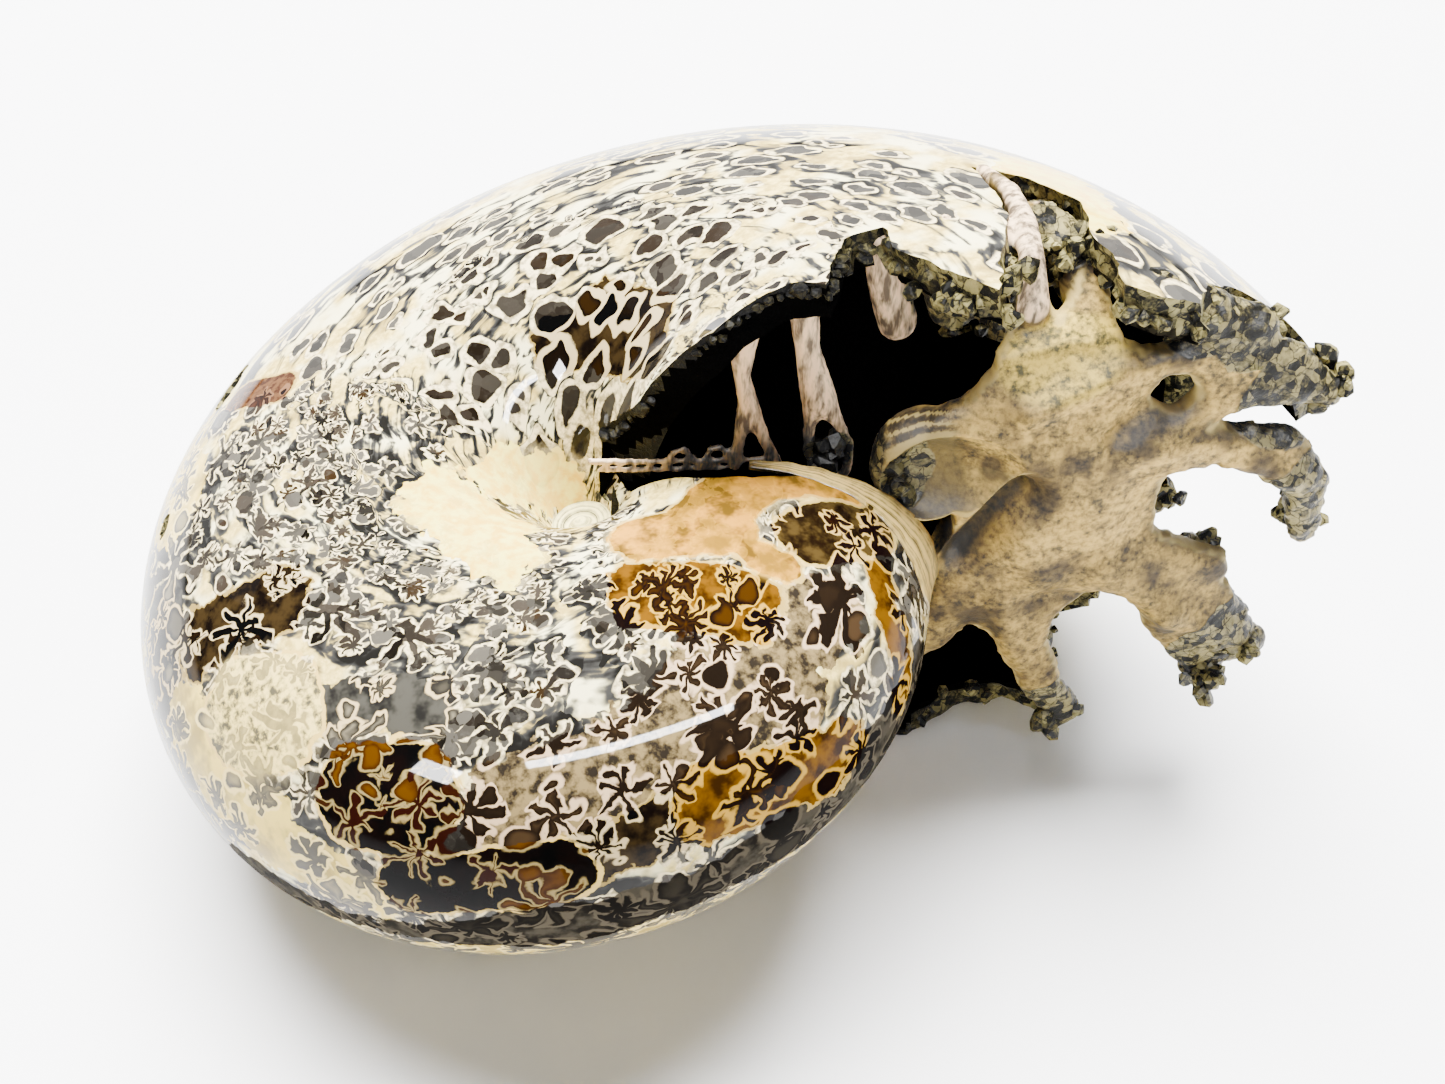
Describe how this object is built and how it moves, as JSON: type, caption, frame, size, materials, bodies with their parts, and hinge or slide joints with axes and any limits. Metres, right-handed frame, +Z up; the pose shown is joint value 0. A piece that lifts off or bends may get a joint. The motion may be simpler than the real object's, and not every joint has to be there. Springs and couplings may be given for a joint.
{
  "type": "polished fossil ammonite with a broken end",
  "caption": "Disc-shaped coiled fossil shell of stone, polished all over, with a broken end that bares a branching partition and an open chamber.",
  "frame": {"origin": "on the surface that it rests on, under the middle of its box", "axes": "+Z is up as it rests, and -Y faces the side that the broken end and the polished flank are seen from, with the broken end at +X"},
  "size_m": [0.1118, 0.0914, 0.0643],
  "materials": {
    "fossil_stone": "polished, patterned, glossy"
  },
  "bodies": {
    "root": {"ammonite": "fossil_stone"}
  },
  "joints": []
}
